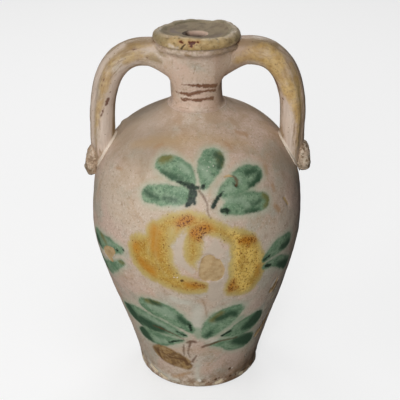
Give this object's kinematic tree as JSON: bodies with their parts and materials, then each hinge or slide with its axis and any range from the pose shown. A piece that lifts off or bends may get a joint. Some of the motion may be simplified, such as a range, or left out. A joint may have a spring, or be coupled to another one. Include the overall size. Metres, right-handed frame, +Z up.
{
  "type": "ceramic water jug",
  "caption": "Egg-bellied glazed earthenware water jug with a short neck, a dished ring mouth and arched handles from collar to shoulder.",
  "frame": {"origin": "centre of the foot, on the throwing axis, at the surface that the jug stands on", "axes": "+Z up along the throwing axis, +X towards the right handle, -Y towards the painted front"},
  "size_m": [0.2058, 0.1952, 0.3449],
  "materials": {
    "cream_glaze": "worn satin tin glaze, cream with a pink cast",
    "ochre_glaze": "worn satin glaze washed with ochre",
    "warm_glaze": "thin satin glaze over pressed clay"
  },
  "bodies": {
    "root": {"belly": "cream_glaze", "neck": "cream_glaze", "mouth_ring": "ochre_glaze", "left_handle": "ochre_glaze", "right_handle": "ochre_glaze", "left_handle_wad": "warm_glaze", "right_handle_wad": "warm_glaze"}
  },
  "joints": []
}
